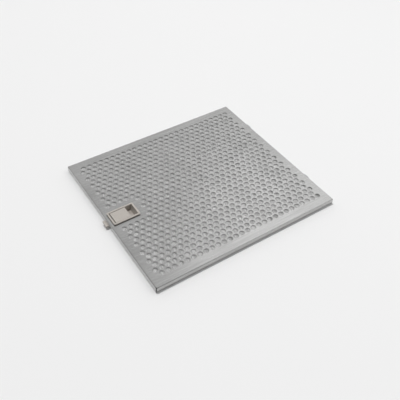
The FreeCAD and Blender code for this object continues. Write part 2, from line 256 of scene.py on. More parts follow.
def plated_steel():
    """Bright zinc plating on steel wire and strip: a cool, cloudy grey."""
    finish, tree, end = new_finish("zinc_plated_steel")
    place = add(tree, "ShaderNodeTexCoord").outputs["Object"]
    patina = add(tree, "ShaderNodeTexNoise", {"Vector": place, "Scale": 1 / PATINA, "Detail": 3.0})
    tone = add(tree, "ShaderNodeMix", {
        0: patina.outputs[0], MIX_A: colour("#8f9194"), MIX_B: colour("#a3a5a8"),
    }, data_type="RGBA")
    rough = add(tree, "ShaderNodeMapRange", {"Value": patina.outputs[0], "To Min": 0.28, "To Max": 0.45})
    shader = add(tree, "ShaderNodeBsdfPrincipled", {
        "Base Color": tone.outputs[MIX_RESULT], "Metallic": 1.0, "Roughness": rough.outputs[0],
    })
    tree.links.new(shader.outputs[0], end.inputs["Surface"])
    return finish


steel = plated_steel()
print("finish:", steel.name)

# %% [markdown]
# ## Growing a mesh from a tree
# What repeats is made by Geometry Nodes: a tree of nodes with named sizes, put on an object as a
# modifier. The result is then turned into a plain mesh and the modifier is taken off.

# %% Geometry tree helpers
FLOAT, WHOLE, POINT = "NodeSocketFloat", "NodeSocketInt", "NodeSocketVector"


def new_tree(name, sizes):
    """A geometry tree with named sizes and a finish; returns it with its sizes and its end."""
    tree = bpy.data.node_groups.new(name, "GeometryNodeTree")
    tree.interface.new_socket("Start", in_out="INPUT", socket_type="NodeSocketGeometry")
    for label, kind in sizes.items():
        tree.interface.new_socket(label, in_out="INPUT", socket_type=kind)
    tree.interface.new_socket("Finish", in_out="INPUT", socket_type="NodeSocketMaterial")
    tree.interface.new_socket("Piece", in_out="OUTPUT", socket_type="NodeSocketGeometry")
    return tree, add(tree, "NodeGroupInput").outputs, add(tree, "NodeGroupOutput").inputs


def end_tree(tree, size, end, shape):
    """Ends a tree: makes every instance real, sets the finish and hands the piece out."""
    real = add(tree, "GeometryNodeRealizeInstances", {"Geometry": shape})
    finished = add(tree, "GeometryNodeSetMaterial", {
        "Geometry": real.outputs[0], "Material": size["Finish"],
    })
    tree.links.new(finished.outputs[0], end["Piece"])
    print(tree.name, "tree:", len(tree.nodes), "nodes")


def grown(name, start, tree, values):
    """The piece that a tree grows from a start mesh, as an object with a plain mesh."""
    piece = bpy.data.objects.new(name, start)
    bpy.context.scene.collection.objects.link(piece)
    modifier = piece.modifiers.new(tree.name, "NODES")
    modifier.node_group = tree
    for item in tree.interface.items_tree:
        if item.in_out == "INPUT" and item.name in values:
            modifier[item.identifier] = values[item.name]
    evaluated = piece.evaluated_get(bpy.context.evaluated_depsgraph_get())
    mesh = bpy.data.meshes.new_from_object(evaluated)
    piece.modifiers.remove(modifier)
    if mesh.materials[0] is None:
        mesh.materials.pop(index=0)
    piece.data = mesh
    return piece


print("tree helpers:", new_tree.__name__, end_tree.__name__, grown.__name__)

# %% [markdown]
# ## Outlines, shading and the latch
# Three more helpers serve the sheets and the mesh. The first makes a mesh of closed outlines for a tree
# to start from. The second shades a finished mesh smooth between its sharp edges; the flat of a sheet can
# stay flat, or the shading of its hole edges would bleed into it. The third leaves out the points of a
# pattern at the latch.

# %% Shape helpers
LEVEL = 0.9999  # upward share of a level face's direction


def loops_mesh(name, loops):
    """A mesh of closed outlines, each a list of points."""
    points = [point for loop in loops for point in loop]
    edges = []
    first = 0
    for loop in loops:
        count = len(loop)
        edges += [(first + i, first + (i + 1) % count) for i in range(count)]
        first += count
    mesh = bpy.data.meshes.new(name)
    mesh.from_pydata(points, edges, [])
    return mesh


def smooth_below(mesh, degrees, keep_level=False):
    """Shades a mesh smooth, apart from edges that turn by more than an angle; level faces can stay flat."""
    work = bmesh.new()
    work.from_mesh(mesh)
    for face in work.faces:
        face.smooth = True
    for edge in work.edges:
        edge.smooth = len(edge.link_faces) == 2 and edge.calc_face_angle() < math.radians(degrees)
        if keep_level and len({abs(face.normal.z) > LEVEL for face in edge.link_faces}) == 2:
            edge.smooth = False
    work.to_mesh(mesh)
    work.free()


def outside_patch(tree, size, points):
    """The points that lie outside the rectangle that is left clear for the latch."""
    place = add(tree, "GeometryNodeInputPosition")
    from_middle = add(tree, "ShaderNodeVectorMath", {
        0: place.outputs[0], 1: size["Patch middle"],
    }, operation="SUBTRACT")
    in_reaches = add(tree, "ShaderNodeVectorMath", {
        0: from_middle.outputs[0], 1: size["Patch reach"],
    }, operation="DIVIDE")
    apart = add(tree, "ShaderNodeVectorMath", {0: in_reaches.outputs[0]}, operation="ABSOLUTE")
    axes = add(tree, "ShaderNodeSeparateXYZ", {0: apart.outputs[0]})
    furthest = add(tree, "ShaderNodeMath", {
        0: axes.outputs["X"], 1: axes.outputs["Y"],
    }, operation="MAXIMUM")
    in_patch = add(tree, "ShaderNodeMath", {0: furthest.outputs[0], 1: 1.0}, operation="LESS_THAN")
    kept = add(tree, "GeometryNodeDeleteGeometry", {
        "Geometry": points, "Selection": in_patch.outputs[0],
    }, domain="POINT")
    return kept.outputs[0]


print("shape helpers:", loops_mesh.__name__, smooth_below.__name__, outside_patch.__name__)

# %% [markdown]
# ## Punching: where the holes go
# A press punches the sheets with round holes in staggered rows. Cutting hundreds of holes with boolean
# solids is slow and leaves ragged faces. Filling a flat outline around circles is quick and exact. So the
# tree first lays out the middles of the holes: a grid of points, with every other row moved by half a
# pitch, and without the plain patch at the latch.

# %% Hole middles
punching, size, end = new_tree("punched_sheet", {
    "Hole diameter": FLOAT, "Hole pitch": FLOAT, "Row spacing": FLOAT, "Rows": WHOLE,
    "Holes in a row": WHOLE, "Sides of a hole": WHOLE, "Rolled edge": FLOAT, "Steps of the roll": WHOLE,
    "Thickness": FLOAT, "Underside": POINT, "Pattern middle": POINT, "Patch middle": POINT,
    "Patch reach": POINT,
})
gaps_along = add(punching, "ShaderNodeMath", {0: size["Holes in a row"], 1: 1.0}, operation="SUBTRACT")
gaps_across = add(punching, "ShaderNodeMath", {0: size["Rows"], 1: 1.0}, operation="SUBTRACT")
span_along = add(punching, "ShaderNodeMath", {
    0: gaps_along.outputs[0], 1: size["Hole pitch"],
}, operation="MULTIPLY")
span_across = add(punching, "ShaderNodeMath", {
    0: gaps_across.outputs[0], 1: size["Row spacing"],
}, operation="MULTIPLY")
grid = add(punching, "GeometryNodeMeshGrid", {
    "Size X": span_along.outputs[0], "Size Y": span_across.outputs[0],
    "Vertices X": size["Holes in a row"], "Vertices Y": size["Rows"],
})
number = add(punching, "GeometryNodeInputIndex")
row = add(punching, "ShaderNodeMath", {0: number.outputs[0], 1: size["Rows"]}, operation="MODULO")
every_other = add(punching, "ShaderNodeMath", {0: row.outputs[0], 1: 2.0}, operation="MODULO")
share = add(punching, "ShaderNodeMath", {
    0: every_other.outputs[0], 1: -0.5, 2: 0.25,
}, operation="MULTIPLY_ADD")
shift = add(punching, "ShaderNodeMath", {0: share.outputs[0], 1: size["Hole pitch"]}, operation="MULTIPLY")
along = add(punching, "ShaderNodeCombineXYZ", {"X": shift.outputs[0]})
aside = add(punching, "ShaderNodeVectorMath", {
    0: along.outputs[0], 1: size["Pattern middle"],
}, operation="ADD")
staggered = add(punching, "GeometryNodeSetPosition", {
    "Geometry": grid.outputs["Mesh"], "Offset": aside.outputs[0],
})
centres = outside_patch(punching, size, staggered.outputs[0])
print("hole middles:", len(punching.nodes), "nodes so far")

# %% [markdown]
# ## Punching: the two flats
# The punch draws the upper edge of each hole in, so a hole is wider at the upper face than in its bore.
# The tree fills the outline twice around circles on the hole middles: once for the lower face and once,
# with wider circles, for the upper face. The walls along the outline come from a plain extrusion.

# %% Flats and outline walls
radius = add(punching, "ShaderNodeMath", {0: size["Hole diameter"], 1: 0.5}, operation="MULTIPLY")
wide_radius = add(punching, "ShaderNodeMath", {
    0: radius.outputs[0], 1: size["Rolled edge"],
}, operation="ADD")
outline = add(punching, "GeometryNodeMeshToCurve", {"Mesh": size["Start"]})


def filled_around(hole_radius):
    """The flat of the sheet between its outline and circles of a radius."""
    circle = add(punching, "GeometryNodeCurvePrimitiveCircle", {
        "Resolution": size["Sides of a hole"], "Radius": hole_radius,
    })
    circles = add(punching, "GeometryNodeInstanceOnPoints", {
        "Points": centres, "Instance": circle.outputs["Curve"],
    })
    drawn = add(punching, "GeometryNodeRealizeInstances", {"Geometry": circles.outputs[0]})
    drawing = add(punching, "GeometryNodeJoinGeometry", {
        "Geometry": [outline.outputs[0], drawn.outputs[0]],
    })
    filled = add(punching, "GeometryNodeFillCurve", {"Curve": drawing.outputs[0]}, mode="TRIANGLES")
    return filled.outputs[0]


lower = add(punching, "GeometryNodeFlipFaces", {"Mesh": filled_around(radius.outputs[0])})
rise = add(punching, "ShaderNodeCombineXYZ", {"Z": size["Thickness"]})
upper = add(punching, "GeometryNodeTransform", {
    "Geometry": filled_around(wide_radius.outputs[0]), "Translation": rise.outputs[0],
})
plain = add(punching, "GeometryNodeFillCurve", {"Curve": outline.outputs[0]}, mode="TRIANGLES")
block = add(punching, "GeometryNodeExtrudeMesh", {
    "Mesh": plain.outputs[0], "Offset": (0, 0, 1), "Offset Scale": size["Thickness"], "Individual": False,
})
walls = add(punching, "GeometryNodeSeparateGeometry", {
    "Geometry": block.outputs["Mesh"], "Selection": block.outputs["Side"],
}, domain="FACE")
print("flats and walls:", len(punching.nodes), "nodes so far")

# %% [markdown]
# ## Punching: the edge of a hole
# A short tube with a rounded mouth joins the two flats in each hole. The tree starts from a tube of
# radius 1 in bands. The lowest band is the straight bore, and the bands above it turn outwards in a
# quarter circle.

# %% Hole edge
bands = add(punching, "ShaderNodeMath", {0: size["Steps of the roll"], 1: 1.0}, operation="ADD")
tube = add(punching, "GeometryNodeMeshCylinder", {
    "Vertices": size["Sides of a hole"], "Side Segments": bands.outputs[0], "Radius": 1.0, "Depth": 1.0,
}, fill_type="NONE")
tube_place = add(punching, "GeometryNodeInputPosition")
tube_axes = add(punching, "ShaderNodeSeparateXYZ", {0: tube_place.outputs[0]})
from_bottom = add(punching, "ShaderNodeMath", {0: tube_axes.outputs["Z"], 1: 0.5}, operation="ADD")
band = add(punching, "ShaderNodeMath", {
    0: from_bottom.outputs[0], 1: bands.outputs[0],
}, operation="MULTIPLY")
in_roll = add(punching, "ShaderNodeMath", {0: band.outputs[0], 1: 1.0}, operation="SUBTRACT")
rolled = add(punching, "ShaderNodeMath", {
    0: in_roll.outputs[0], 1: size["Steps of the roll"],
}, operation="DIVIDE")
from_wall = add(punching, "ShaderNodeMath", {0: rolled.outputs[0], 1: 0.0}, operation="MAXIMUM")
turned = add(punching, "ShaderNodeMath", {0: from_wall.outputs[0], 1: math.pi / 2}, operation="MULTIPLY")
level = add(punching, "ShaderNodeMath", {0: turned.outputs[0]}, operation="SINE")
inward = add(punching, "ShaderNodeMath", {0: turned.outputs[0]}, operation="COSINE")
reach_in = add(punching, "ShaderNodeMath", {
    0: inward.outputs[0], 1: size["Rolled edge"],
}, operation="MULTIPLY")
edge_radius = add(punching, "ShaderNodeMath", {
    0: wide_radius.outputs[0], 1: reach_in.outputs[0],
}, operation="SUBTRACT")
on_wall = add(punching, "ShaderNodeMath", {0: band.outputs[0], 1: 1.0}, operation="MINIMUM")
wall = add(punching, "ShaderNodeMath", {0: size["Thickness"], 1: size["Rolled edge"]}, operation="SUBTRACT")
wall_rise = add(punching, "ShaderNodeMath", {
    0: on_wall.outputs[0], 1: wall.outputs[0],
}, operation="MULTIPLY")
edge_rise = add(punching, "ShaderNodeMath", {
    0: level.outputs[0], 1: size["Rolled edge"], 2: wall_rise.outputs[0],
}, operation="MULTIPLY_ADD")
edge_x = add(punching, "ShaderNodeMath", {
    0: tube_axes.outputs["X"], 1: edge_radius.outputs[0],
}, operation="MULTIPLY")
edge_y = add(punching, "ShaderNodeMath", {
    0: tube_axes.outputs["Y"], 1: edge_radius.outputs[0],
}, operation="MULTIPLY")
edge_place = add(punching, "ShaderNodeCombineXYZ", {
    "X": edge_x.outputs[0], "Y": edge_y.outputs[0], "Z": edge_rise.outputs[0],
})
drawn_in = add(punching, "GeometryNodeSetPosition", {
    "Geometry": tube.outputs["Mesh"], "Position": edge_place.outputs[0],
})
hole_edge = add(punching, "GeometryNodeFlipFaces", {"Mesh": drawn_in.outputs[0]})
print("hole edge:", len(punching.nodes), "nodes so far")

# %% [markdown]
# ## Punching: one closed sheet
# A copy of the edge goes on every hole middle. Its rims have as many corners as the circles, so flats,
# walls and edges meet corner to corner. Merging the corners closes the sheet, which then moves up to its
# height.

# %% Closed sheet
TOUCH = 0.001 * MM  # points nearer than this are one point

hole_edges = add(punching, "GeometryNodeInstanceOnPoints", {
    "Points": centres, "Instance": hole_edge.outputs[0],
})
real_edges = add(punching, "GeometryNodeRealizeInstances", {"Geometry": hole_edges.outputs[0]})
faces = add(punching, "GeometryNodeJoinGeometry", {
    "Geometry": [upper.outputs[0], lower.outputs[0], walls.outputs[0], real_edges.outputs[0]],
})
closed = add(punching, "GeometryNodeMergeByDistance", {"Geometry": faces.outputs[0], "Distance": TOUCH})
raised = add(punching, "GeometryNodeTransform", {
    "Geometry": closed.outputs[0], "Translation": size["Underside"],
})
end_tree(punching, size, end, raised.outputs[0])

# %% [markdown]
# ## Front sheet: the folded rim
# The front is one sheet, folded down on its four sides and returned under the rear. Its folds, walls,
# lips, open mitres and slots are right in the construction, which has coarse six-sided holes. So the
# folded rim is copied from there, without the flat between the fold lines.

# %% Folded rim
SHEET = 0.7 * MM
FOLD = 1.5 * MM  # from an edge to the flat of the sheet

front_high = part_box("front_sheet")[1]
flat = front_high.xy - Vector((FOLD, FOLD))


def in_flat(point):
    """Whether a point belongs to the flat between the fold lines."""
    inside = abs(point.x) < flat.x + TOUCH and abs(point.y) < flat.y + TOUCH
    return inside and point.z > front_high.z - SHEET - TOUCH


rim = bmesh.new()
rim.from_mesh(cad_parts["front_sheet"].data)
bmesh.ops.remove_doubles(rim, verts=rim.verts, dist=TOUCH)
flat_faces = [face for face in rim.faces if all(in_flat(corner.co) for corner in face.verts)]
bmesh.ops.delete(rim, geom=flat_faces, context="FACES")
mitre_x = max(abs(v.co.x) for v in rim.verts if in_flat(v.co) and abs(v.co.y) > flat.y - TOUCH)
mitre_y = max(abs(v.co.y) for v in rim.verts if in_flat(v.co) and abs(v.co.x) > flat.x - TOUCH)
rim_mesh = bpy.data.meshes.new("front_rim")
rim.to_mesh(rim_mesh)
rim.free()
print("folded rim:", len(rim_mesh.polygons), "faces")

# %% [markdown]
# ## Front sheet: the punched flat
# The tree punches a new flat with round holes about 7 mm across and 10 mm apart. Its outline runs along
# the fold lines, with a point where each open mitre begins, and the window for the latch is a second loop
# in it.

# %% Punched flat
HOLE = 7.2 * MM
HOLE_PITCH = 9.915 * MM
ROW_SPACING = HOLE_PITCH * math.sin(math.radians(60))
ROWS = 29
HOLES_IN_ROW = 28
HOLE_SIDES = 20
ROLLED_EDGE = 0.6 * MM  # the punch draws the edge of a hole in
ROLL_STEPS = 3
PATTERN_MIDDLE = Vector((-0.75, 0.3, 0)) * MM  # the press sets the pattern a little off the middle
WINDOW_CLEARANCE = 0.2 * MM
PATCH_MARGIN = 3.2 * MM  # plain metal between the bezel and the nearest hole

bezel_low, bezel_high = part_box("latch_housing")
bezel_middle = (bezel_low + bezel_high) / 2
bezel_reach = (bezel_high - bezel_low) / 2
latch_low, latch_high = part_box("latch_cover")
low = latch_low.xy - Vector((WINDOW_CLEARANCE, WINDOW_CLEARANCE))
high = latch_high.xy + Vector((WINDOW_CLEARANCE, WINDOW_CLEARANCE))
latch_window = [(low.x, low.y, 0), (high.x, low.y, 0), (high.x, high.y, 0), (low.x, high.y, 0)]

front_outline = []
for x_side, y_side in ((1, 1), (-1, 1), (-1, -1), (1, -1)):
    on_side = (x_side * flat.x, y_side * mitre_y, 0)
    at_corner = (x_side * flat.x, y_side * flat.y, 0)
    on_end = (x_side * mitre_x, y_side * flat.y, 0)
    order = (on_side, at_corner, on_end) if x_side == y_side else (on_end, at_corner, on_side)
    front_outline += order

PERFORATION = {
    "Hole diameter": HOLE, "Hole pitch": HOLE_PITCH, "Row spacing": ROW_SPACING, "Rows": ROWS,
    "Holes in a row": HOLES_IN_ROW, "Sides of a hole": HOLE_SIDES, "Thickness": SHEET,
    "Rolled edge": ROLLED_EDGE, "Steps of the roll": ROLL_STEPS,
    "Pattern middle": PATTERN_MIDDLE, "Patch middle": bezel_middle, "Finish": aluminium,
    "Patch reach": bezel_reach + Vector((1, 1, 1)) * (HOLE / 2 + PATCH_MARGIN),
}
front_start = loops_mesh("front_outline", [front_outline, latch_window])
front = grown("front_sheet_perforated", front_start, punching, {
    **PERFORATION, "Underside": (0, 0, front_high.z - SHEET),
})
print("front flat:", len(front.data.polygons), "faces")

# %% [markdown]
# ## Front sheet: joined along the folds
# The flat's own walls along the fold lines would lie inside the metal, so they are deleted and the rim is
# merged on in their place. A count of open edges shows whether the sheet is closed.

# %% Joined front sheet
UPRIGHT = 0.5  # a face with less upward share in its direction stands upright
SHEET_CREASE = 40  # degrees

joined = bmesh.new()
joined.from_mesh(front.data)
fold_line = min(mitre_x, mitre_y)  # no other wall of the flat is this long
hidden = [
    face for face in joined.faces
    if abs(face.normal.z) < UPRIGHT and max(edge.calc_length() for edge in face.edges) > fold_line
]
bmesh.ops.delete(joined, geom=hidden, context="FACES")
joined.from_mesh(rim_mesh)
bmesh.ops.remove_doubles(joined, verts=joined.verts, dist=TOUCH)
open_edges = [edge for edge in joined.edges if not edge.is_manifold]
print("front sheet:", len(joined.faces), "faces,", len(open_edges), "open edges,", len(hidden), "hidden")
joined.to_mesh(front.data)
joined.free()
smooth_below(front.data, SHEET_CREASE, keep_level=True)

# %% [markdown]
# ## Rear sheet
# The rear is a flat sheet with the same punching, which lies on the folded lips. The latch cover closes
# its window. The same tree makes it from a plain rectangle. Its hole edges face the mesh, so they are
# simpler.

# %% Rear sheet
PLAIN_ROLL_STEPS = 1

rear_low, rear_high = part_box("rear_sheet")
rear_outline = [
    (rear_high.x, rear_high.y, 0), (rear_low.x, rear_high.y, 0),
    (rear_low.x, rear_low.y, 0), (rear_high.x, rear_low.y, 0),
]
rear_start = loops_mesh("rear_outline", [rear_outline, latch_window])
rear = grown("rear_sheet_perforated", rear_start, punching, {
    **PERFORATION, "Underside": (0, 0, rear_low.z), "Steps of the roll": PLAIN_ROLL_STEPS,
})
smooth_below(rear.data, SHEET_CREASE, keep_level=True)
print("rear sheet:", len(rear.data.polygons), "faces")

# %% [markdown]
# ## Expanded foil: the strands
# Expanded mesh is foil that is slit in staggered cuts and pulled open, so that each strand runs in a
# zigzag and is bonded to its neighbours at every turn. A sheet with diamond holes would look too flat, so
# the tree makes the strands themselves. It starts with straight lines of points, side by side.

# %% Straight strands
stretching, size, end = new_tree("expanded_foil", {
    "Run": FLOAT, "Strands": WHOLE, "Steps": WHOLE, "Diamond length": FLOAT, "Strand spacing": FLOAT,
    "Strand width": FLOAT, "Foil": FLOAT, "Twist": FLOAT, "Ridge pitch": FLOAT,
    "Ridge height": FLOAT, "Flank share": FLOAT, "Unevenness": FLOAT, "Seed": WHOLE, "Turn": POINT,
    "Middle": POINT, "Patch middle": POINT, "Patch reach": POINT,
})
half_step = add(stretching, "ShaderNodeMath", {0: size["Diamond length"], 1: 0.5}, operation="MULTIPLY")
step = add(stretching, "ShaderNodeCombineXYZ", {"X": half_step.outputs[0]})
half_run = add(stretching, "ShaderNodeMath", {0: size["Run"], 1: -0.5}, operation="MULTIPLY")
line_start = add(stretching, "ShaderNodeCombineXYZ", {"X": half_run.outputs[0]})
strand = add(stretching, "GeometryNodeMeshLine", {
    "Count": size["Steps"], "Start Location": line_start.outputs[0], "Offset": step.outputs[0],
})
gaps = add(stretching, "ShaderNodeMath", {0: size["Strands"], 1: 1.0}, operation="SUBTRACT")
spread = add(stretching, "ShaderNodeMath", {
    0: gaps.outputs[0], 1: size["Strand spacing"],
}, operation="MULTIPLY")
first_row = add(stretching, "ShaderNodeMath", {0: spread.outputs[0], 1: -0.5}, operation="MULTIPLY")
row_start = add(stretching, "ShaderNodeCombineXYZ", {"Y": first_row.outputs[0]})
row_step = add(stretching, "ShaderNodeCombineXYZ", {"Y": size["Strand spacing"]})
rows = add(stretching, "GeometryNodeMeshLine", {
    "Count": size["Strands"], "Start Location": row_start.outputs[0], "Offset": row_step.outputs[0],
})
copies = add(stretching, "GeometryNodeInstanceOnPoints", {
    "Points": rows.outputs[0], "Instance": strand.outputs[0],
})
straight = add(stretching, "GeometryNodeRealizeInstances", {"Geometry": copies.outputs[0]})
print("straight strands:", len(stretching.nodes), "nodes so far")

# %% [markdown]
# ## Expanded foil: zigzags and ridges
# Every other point of a strand swings to the other side, and its neighbours swing against it, so that
# they meet. Then the mesh is crimped into low ridges with flat tops, which keep the layers apart. A small
# random wander makes it as uneven as stretched foil is.

# %% Zigzags and ridges
number = add(stretching, "GeometryNodeInputIndex")
in_rows = add(stretching, "ShaderNodeMath", {0: number.outputs[0], 1: size["Steps"]}, operation="DIVIDE")
row = add(stretching, "ShaderNodeMath", {0: in_rows.outputs[0]}, operation="FLOOR")
in_row = add(stretching, "ShaderNodeMath", {0: number.outputs[0], 1: size["Steps"]}, operation="MODULO")
both_counts = add(stretching, "ShaderNodeMath", {0: row.outputs[0], 1: in_row.outputs[0]}, operation="ADD")
every_other = add(stretching, "ShaderNodeMath", {0: both_counts.outputs[0], 1: 2.0}, operation="MODULO")
side = add(stretching, "ShaderNodeMath", {
    0: every_other.outputs[0], 1: 2.0, 2: -1.0,
}, operation="MULTIPLY_ADD")
opening = add(stretching, "ShaderNodeMath", {
    0: size["Strand spacing"], 1: size["Strand width"],
}, operation="SUBTRACT")
swing = add(stretching, "ShaderNodeMath", {0: opening.outputs[0], 1: 0.5}, operation="MULTIPLY")
zigzag = add(stretching, "ShaderNodeMath", {0: side.outputs[0], 1: swing.outputs[0]}, operation="MULTIPLY")
place = add(stretching, "GeometryNodeInputPosition")
axes = add(stretching, "ShaderNodeSeparateXYZ", {0: place.outputs[0]})
from_end = add(stretching, "ShaderNodeMath", {
    0: axes.outputs["X"], 1: half_run.outputs[0],
}, operation="SUBTRACT")
half_pitch = add(stretching, "ShaderNodeMath", {0: size["Ridge pitch"], 1: 0.5}, operation="MULTIPLY")
wave = add(stretching, "ShaderNodeMath", {
    0: from_end.outputs[0], 1: half_pitch.outputs[0],
}, operation="PINGPONG")
flank = add(stretching, "ShaderNodeMath", {
    0: half_pitch.outputs[0], 1: size["Flank share"],
}, operation="MULTIPLY")
rise = add(stretching, "ShaderNodeMath", {0: wave.outputs[0], 1: flank.outputs[0]}, operation="DIVIDE")
flat_top = add(stretching, "ShaderNodeMath", {0: rise.outputs[0], 1: 1.0}, operation="MINIMUM")
ridge = add(stretching, "ShaderNodeMath", {
    0: flat_top.outputs[0], 1: size["Ridge height"],
}, operation="MULTIPLY")
uneven = add(stretching, "ShaderNodeMath", {0: size["Unevenness"], 1: -1.0}, operation="MULTIPLY")
wander = add(stretching, "FunctionNodeRandomValue", {
    0: uneven.outputs[0], 1: size["Unevenness"], "Seed": size["Seed"],
}, data_type="FLOAT_VECTOR")
bend = add(stretching, "ShaderNodeCombineXYZ", {"Y": zigzag.outputs[0], "Z": ridge.outputs[0]})
shape = add(stretching, "ShaderNodeVectorMath", {0: bend.outputs[0], 1: wander.outputs[0]}, operation="ADD")
bent = add(stretching, "GeometryNodeSetPosition", {
    "Geometry": straight.outputs[0], "Offset": shape.outputs[0],
})
print("zigzags and ridges:", len(stretching.nodes), "nodes so far")

# %% [markdown]
# ## Expanded foil: twisted strands
# Stretching twists the strands this way and that, which gives the mesh its sparkle. The tree lays the
# bent lines in their place, clears the latch and gives each strand a flat section that tilts by a random
# angle.

# %% Twisted strands
laid = add(stretching, "GeometryNodeTransform", {
    "Geometry": bent.outputs[0], "Translation": size["Middle"], "Rotation": size["Turn"],
})
cleared = outside_patch(stretching, size, laid.outputs[0])
paths = add(stretching, "GeometryNodeMeshToCurve", {"Mesh": cleared})
upright = add(stretching, "GeometryNodeSetCurveNormal", {"Curve": paths.outputs[0]}, mode="Z_UP")
other_way = add(stretching, "ShaderNodeMath", {0: size["Twist"], 1: -1.0}, operation="MULTIPLY")
tilt = add(stretching, "FunctionNodeRandomValue", {
    2: other_way.outputs[0], 3: size["Twist"], "Seed": size["Seed"],
}, data_type="FLOAT")
twisted = add(stretching, "GeometryNodeSetCurveTilt", {
    "Curve": upright.outputs[0], "Tilt": tilt.outputs[1],
})
section = add(stretching, "GeometryNodeCurvePrimitiveQuadrilateral", {
    "Width": size["Strand width"], "Height": size["Foil"],
})
strands = add(stretching, "GeometryNodeCurveToMesh", {
    "Curve": twisted.outputs[0], "Profile Curve": section.outputs[0], "Fill Caps": True,
})
flat_shaded = add(stretching, "GeometryNodeSetShadeSmooth", {
    "Geometry": strands.outputs[0], "Shade Smooth": False,
})
end_tree(stretching, size, end, flat_shaded.outputs[0])

# %% [markdown]
# ## Mesh layers
# Four layers lie between the sheets, each turned a quarter against the one below, so that their ridges
# cross. Each layer takes its place and height from its solid in the construction. The front sheet presses
# the ridges of the top layer nearly flat.

# %% Mesh layers
DIAMOND_LENGTH = 8.0 * MM
STRAND_SPACING = 1.9 * MM
STRAND_WIDTH = 1.6 * MM
FOIL = 0.2 * MM
TWIST = math.radians(21)  # how far a strand turns either way
RIDGE_PITCH = 20 * MM
FLANK_SHARE = 0.15  # how much of a ridge slopes; the rest is its flat top
UNEVENNESS = 0.03 * MM
FIRST_SEED = 11
LATCH_MARGIN = 1.5 * MM  # mesh to the latch housing
PRESSED = 0.1  # what the front sheet leaves of the top layer's ridges
LAYERS = 4
QUARTER_TURN = math.radians(90)

section_height = STRAND_WIDTH * math.sin(TWIST) + FOIL + 2 * UNEVENNESS
layers = []
for index in range(LAYERS):
    node = f"mesh_layer_{index + 1}"
    low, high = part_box(node)
    sides = high - low
    crosswise = index % 2 == 1
    run, across = (sides.y, sides.x) if crosswise else (sides.x, sides.y)
    run -= 2 * UNEVENNESS + STRAND_WIDTH
    ridges = round(run / RIDGE_PITCH)
    steps = int(2 * run / DIAMOND_LENGTH)
    ridge = (sides.z - section_height) * (PRESSED if index == LAYERS - 1 else 1)
    start = bpy.data.meshes.new(node + "_start")
    layer = grown(node + "_strands", start, stretching, {
        "Run": run, "Strands": int((across - STRAND_WIDTH) / STRAND_SPACING), "Steps": steps + 1,
        "Diamond length": 2 * run / steps, "Strand spacing": STRAND_SPACING,
        "Strand width": STRAND_WIDTH, "Foil": FOIL, "Twist": TWIST, "Ridge pitch": run / ridges,
        "Ridge height": ridge, "Flank share": FLANK_SHARE, "Unevenness": UNEVENNESS,
        "Seed": FIRST_SEED + index, "Turn": (0, 0, QUARTER_TURN if crosswise else 0),
        "Middle": ((low.x + high.x) / 2, (low.y + high.y) / 2, high.z - section_height / 2 - ridge),
        "Patch middle": (latch_low + latch_high) / 2,
        "Patch reach": (latch_high - latch_low) / 2 + Vector((1, 1, 1)) * LATCH_MARGIN,
        "Finish": foil,
    })
    layers.append((layer, node))
    print(node, len(layer.data.polygons), "faces, height in mm", round(layer.dimensions.z / MM, 2))

# %% [markdown]
# ## Latch mouldings
# The housing, the cover and the slide are right in the construction, but moulded plastic has no razor
# edges. Each copy is merged, its flat faces are joined again and a Bevel rounds every sharp edge a
# little.

# %% Latch mouldings
SOFT_EDGE = 0.15 * MM
SOFT_EDGE_STEPS = 2
ONE_FLAT = math.radians(1)  # faces that turn by less are one flat face
SHARP = math.radians(50)  # edges that turn by more are rounded
MOULDED_CREASE = 35  # degrees


def rounded_copy(name, node, finish):
    """A merged copy of a solid with its sharp edges slightly rounded."""
    work = bmesh.new()
    work.from_mesh(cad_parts[node].data)
    bmesh.ops.remove_doubles(work, verts=work.verts, dist=TOUCH)
    bmesh.ops.dissolve_limit(work, angle_limit=ONE_FLAT, verts=work.verts, edges=work.edges)
    mesh = bpy.data.meshes.new(name)
    work.to_mesh(mesh)
    work.free()
    mesh.materials.append(finish)
    smooth_below(mesh, MOULDED_CREASE)
    piece = bpy.data.objects.new(name, mesh)
    bpy.context.scene.collection.objects.link(piece)
    edge = piece.modifiers.new("moulded_edge", "BEVEL")
    edge.width = SOFT_EDGE
    edge.segments = SOFT_EDGE_STEPS
    edge.limit_method = "ANGLE"
    edge.angle_limit = SHARP
    edge.use_clamp_overlap = False
    edge.harden_normals = True
    return piece


housing = rounded_copy("latch_housing_moulded", "latch_housing", moulding)
cover = rounded_copy("latch_cover_moulded", "latch_cover", moulding)
slide = rounded_copy("latch_slide_moulded", "latch_slide", moulding)
print("mouldings:", [piece.name for piece in (housing, cover, slide)])

# %% [markdown]
# ## Latch spring
# The spring is drawn round wire, wound in open turns between the bolt's block and the post. A spiral
# curve with a round section is that wire. It rides on the cassette and keeps its length here, though the
# real one shortens towards the post as the latch is pulled.

# %% Latch spring
WIRE = 0.6 * MM
WIRE_SIDES = 10
WIRE_CREASE = 60  # degrees
SPRING_TURNS = 5
STEPS_IN_A_TURN = 24

